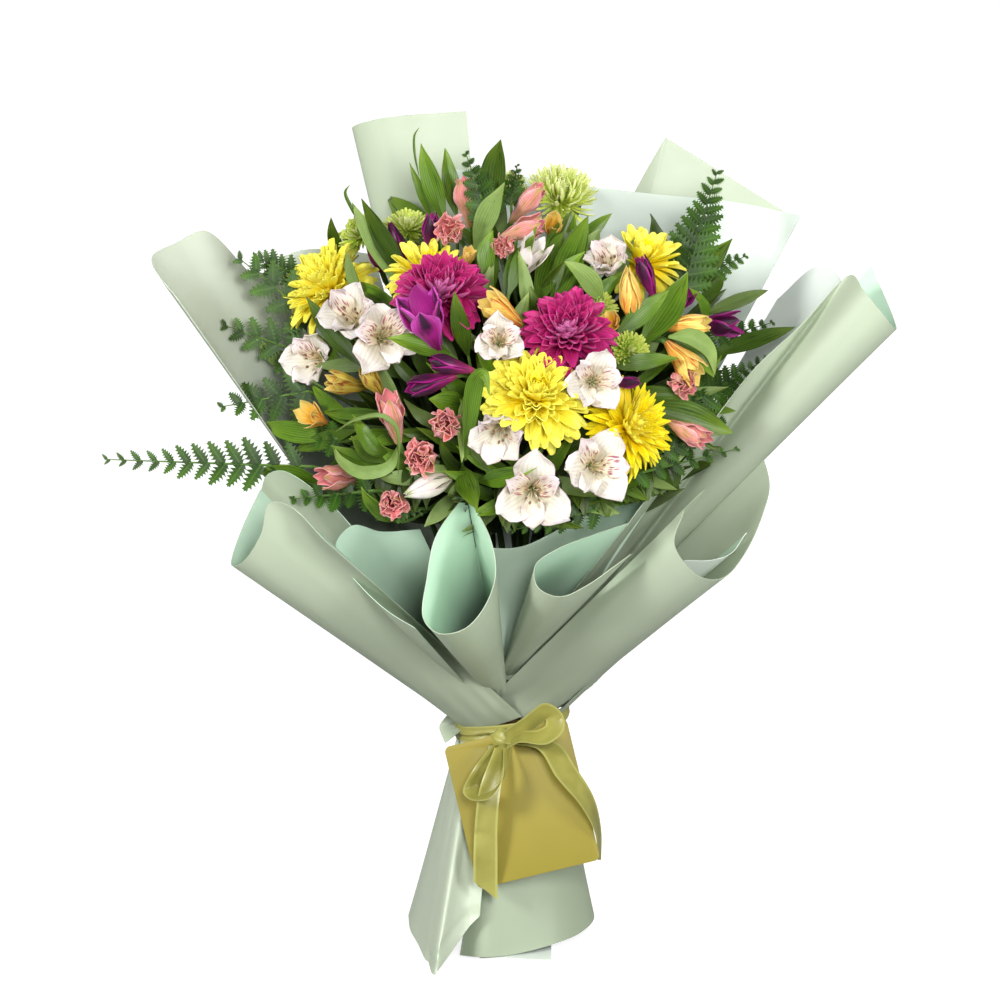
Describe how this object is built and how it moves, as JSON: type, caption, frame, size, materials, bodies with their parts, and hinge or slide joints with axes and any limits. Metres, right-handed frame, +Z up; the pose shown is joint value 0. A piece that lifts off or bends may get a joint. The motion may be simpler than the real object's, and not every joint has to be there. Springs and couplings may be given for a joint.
{
  "type": "wrapped mixed flower bouquet",
  "caption": "Tied bouquet of chrysanthemums and alstroemeria with fern and leaves, rolled in two-tone wrapping sheets with a flared skirt, satin ribbon bow and blank tag",
  "frame": {"origin": "Middle of the bound stems' cut ends, on the surface the bouquet stands on", "axes": "+Z up, front towards -Y, +X to the viewer's right"},
  "size_m": [0.5218, 0.2971, 0.5427],
  "materials": {
    "paper_sage": "matte two-tone wrapping film, sage outside and mint inside",
    "paper_mint": "matte wrapping film, mint side out",
    "ribbon_satin": "satin weave with a soft sheen",
    "tag_card": "bare matte card",
    "twine": "rough natural twine",
    "stem_green": "smooth green stem",
    "leaf_green": "satin leaf with parallel veins",
    "fern_green": "leathery dark fern",
    "petal_yellow": "soft petal",
    "petal_magenta": "soft petal",
    "petal_lime": "soft petal",
    "petal_white": "soft petal, striped throat",
    "petal_pink": "soft petal, green tips",
    "petal_amber": "soft petal, green tips",
    "petal_purple": "soft petal, dark outside"
  },
  "bodies": {
    "root": {"paper_left_roll": "paper_sage", "paper_lower_right_roll": "paper_sage", "paper_low_right_sheet": "paper_sage", "paper_front_leaf_cone": "paper_sage", "paper_right_roll": "paper_sage", "paper_front_right_cone": "paper_mint", "paper_front_left_pocket": "paper_sage", "paper_front_collar": "paper_sage", "paper_left_sheet": "paper_sage", "paper_left_rear_sheet": "paper_sage", "paper_back_left_sheet": "paper_sage", "paper_back_right_sheet": "paper_mint", "paper_back_corner": "paper_sage", "paper_right_inner_sheet": "paper_mint", "yellow_mum_centre": "petal_yellow", "yellow_mum_left": "petal_yellow", "yellow_mum_right": "petal_yellow", "yellow_mum_top": "petal_yellow", "yellow_mum_top_right": "petal_yellow", "magenta_mum_left": "petal_magenta", "magenta_mum_right": "petal_magenta", "green_mums_top": "petal_lime", "green_buttons_left": "petal_lime", "green_buttons_right": "petal_lime", "white_spray_left": "petal_white", "white_spray_centre": "petal_white", "white_spray_front": "petal_white", "white_spray_top": "petal_white", "pink_spray_top": "petal_pink", "pink_spray_top_right": "petal_pink", "pink_spray_front_left": "petal_pink", "pink_spray_right": "petal_pink", "amber_spray_centre": "petal_amber", "amber_spray_right": "petal_amber", "amber_spray_left": "petal_amber", "purple_spray_centre": "petal_purple", "purple_buds_top": "petal_purple", "purple_spray_right": "petal_purple", "leaves_top_left": "leaf_green", "leaves_left": "leaf_green", "leaves_front": "leaf_green", "leaves_top": "leaf_green", "leaves_top_right": "leaf_green", "leaves_right": "leaf_green", "leaves_back": "leaf_green", "fern_left_top": "fern_green", "fern_left": "fern_green", "fern_left_low": "fern_green", "fern_long_left": "fern_green", "fern_front_left": "fern_green", "fern_top": "fern_green", "fern_right_tall": "fern_green", "fern_right": "fern_green", "fern_front_right": "fern_green", "ribbon": "ribbon_satin", "tag": "tag_card", "paper_skirt_panel": "paper_sage", "paper_skirt": "paper_sage", "twine": "twine", "stems": "stem_green"}
  },
  "joints": []
}
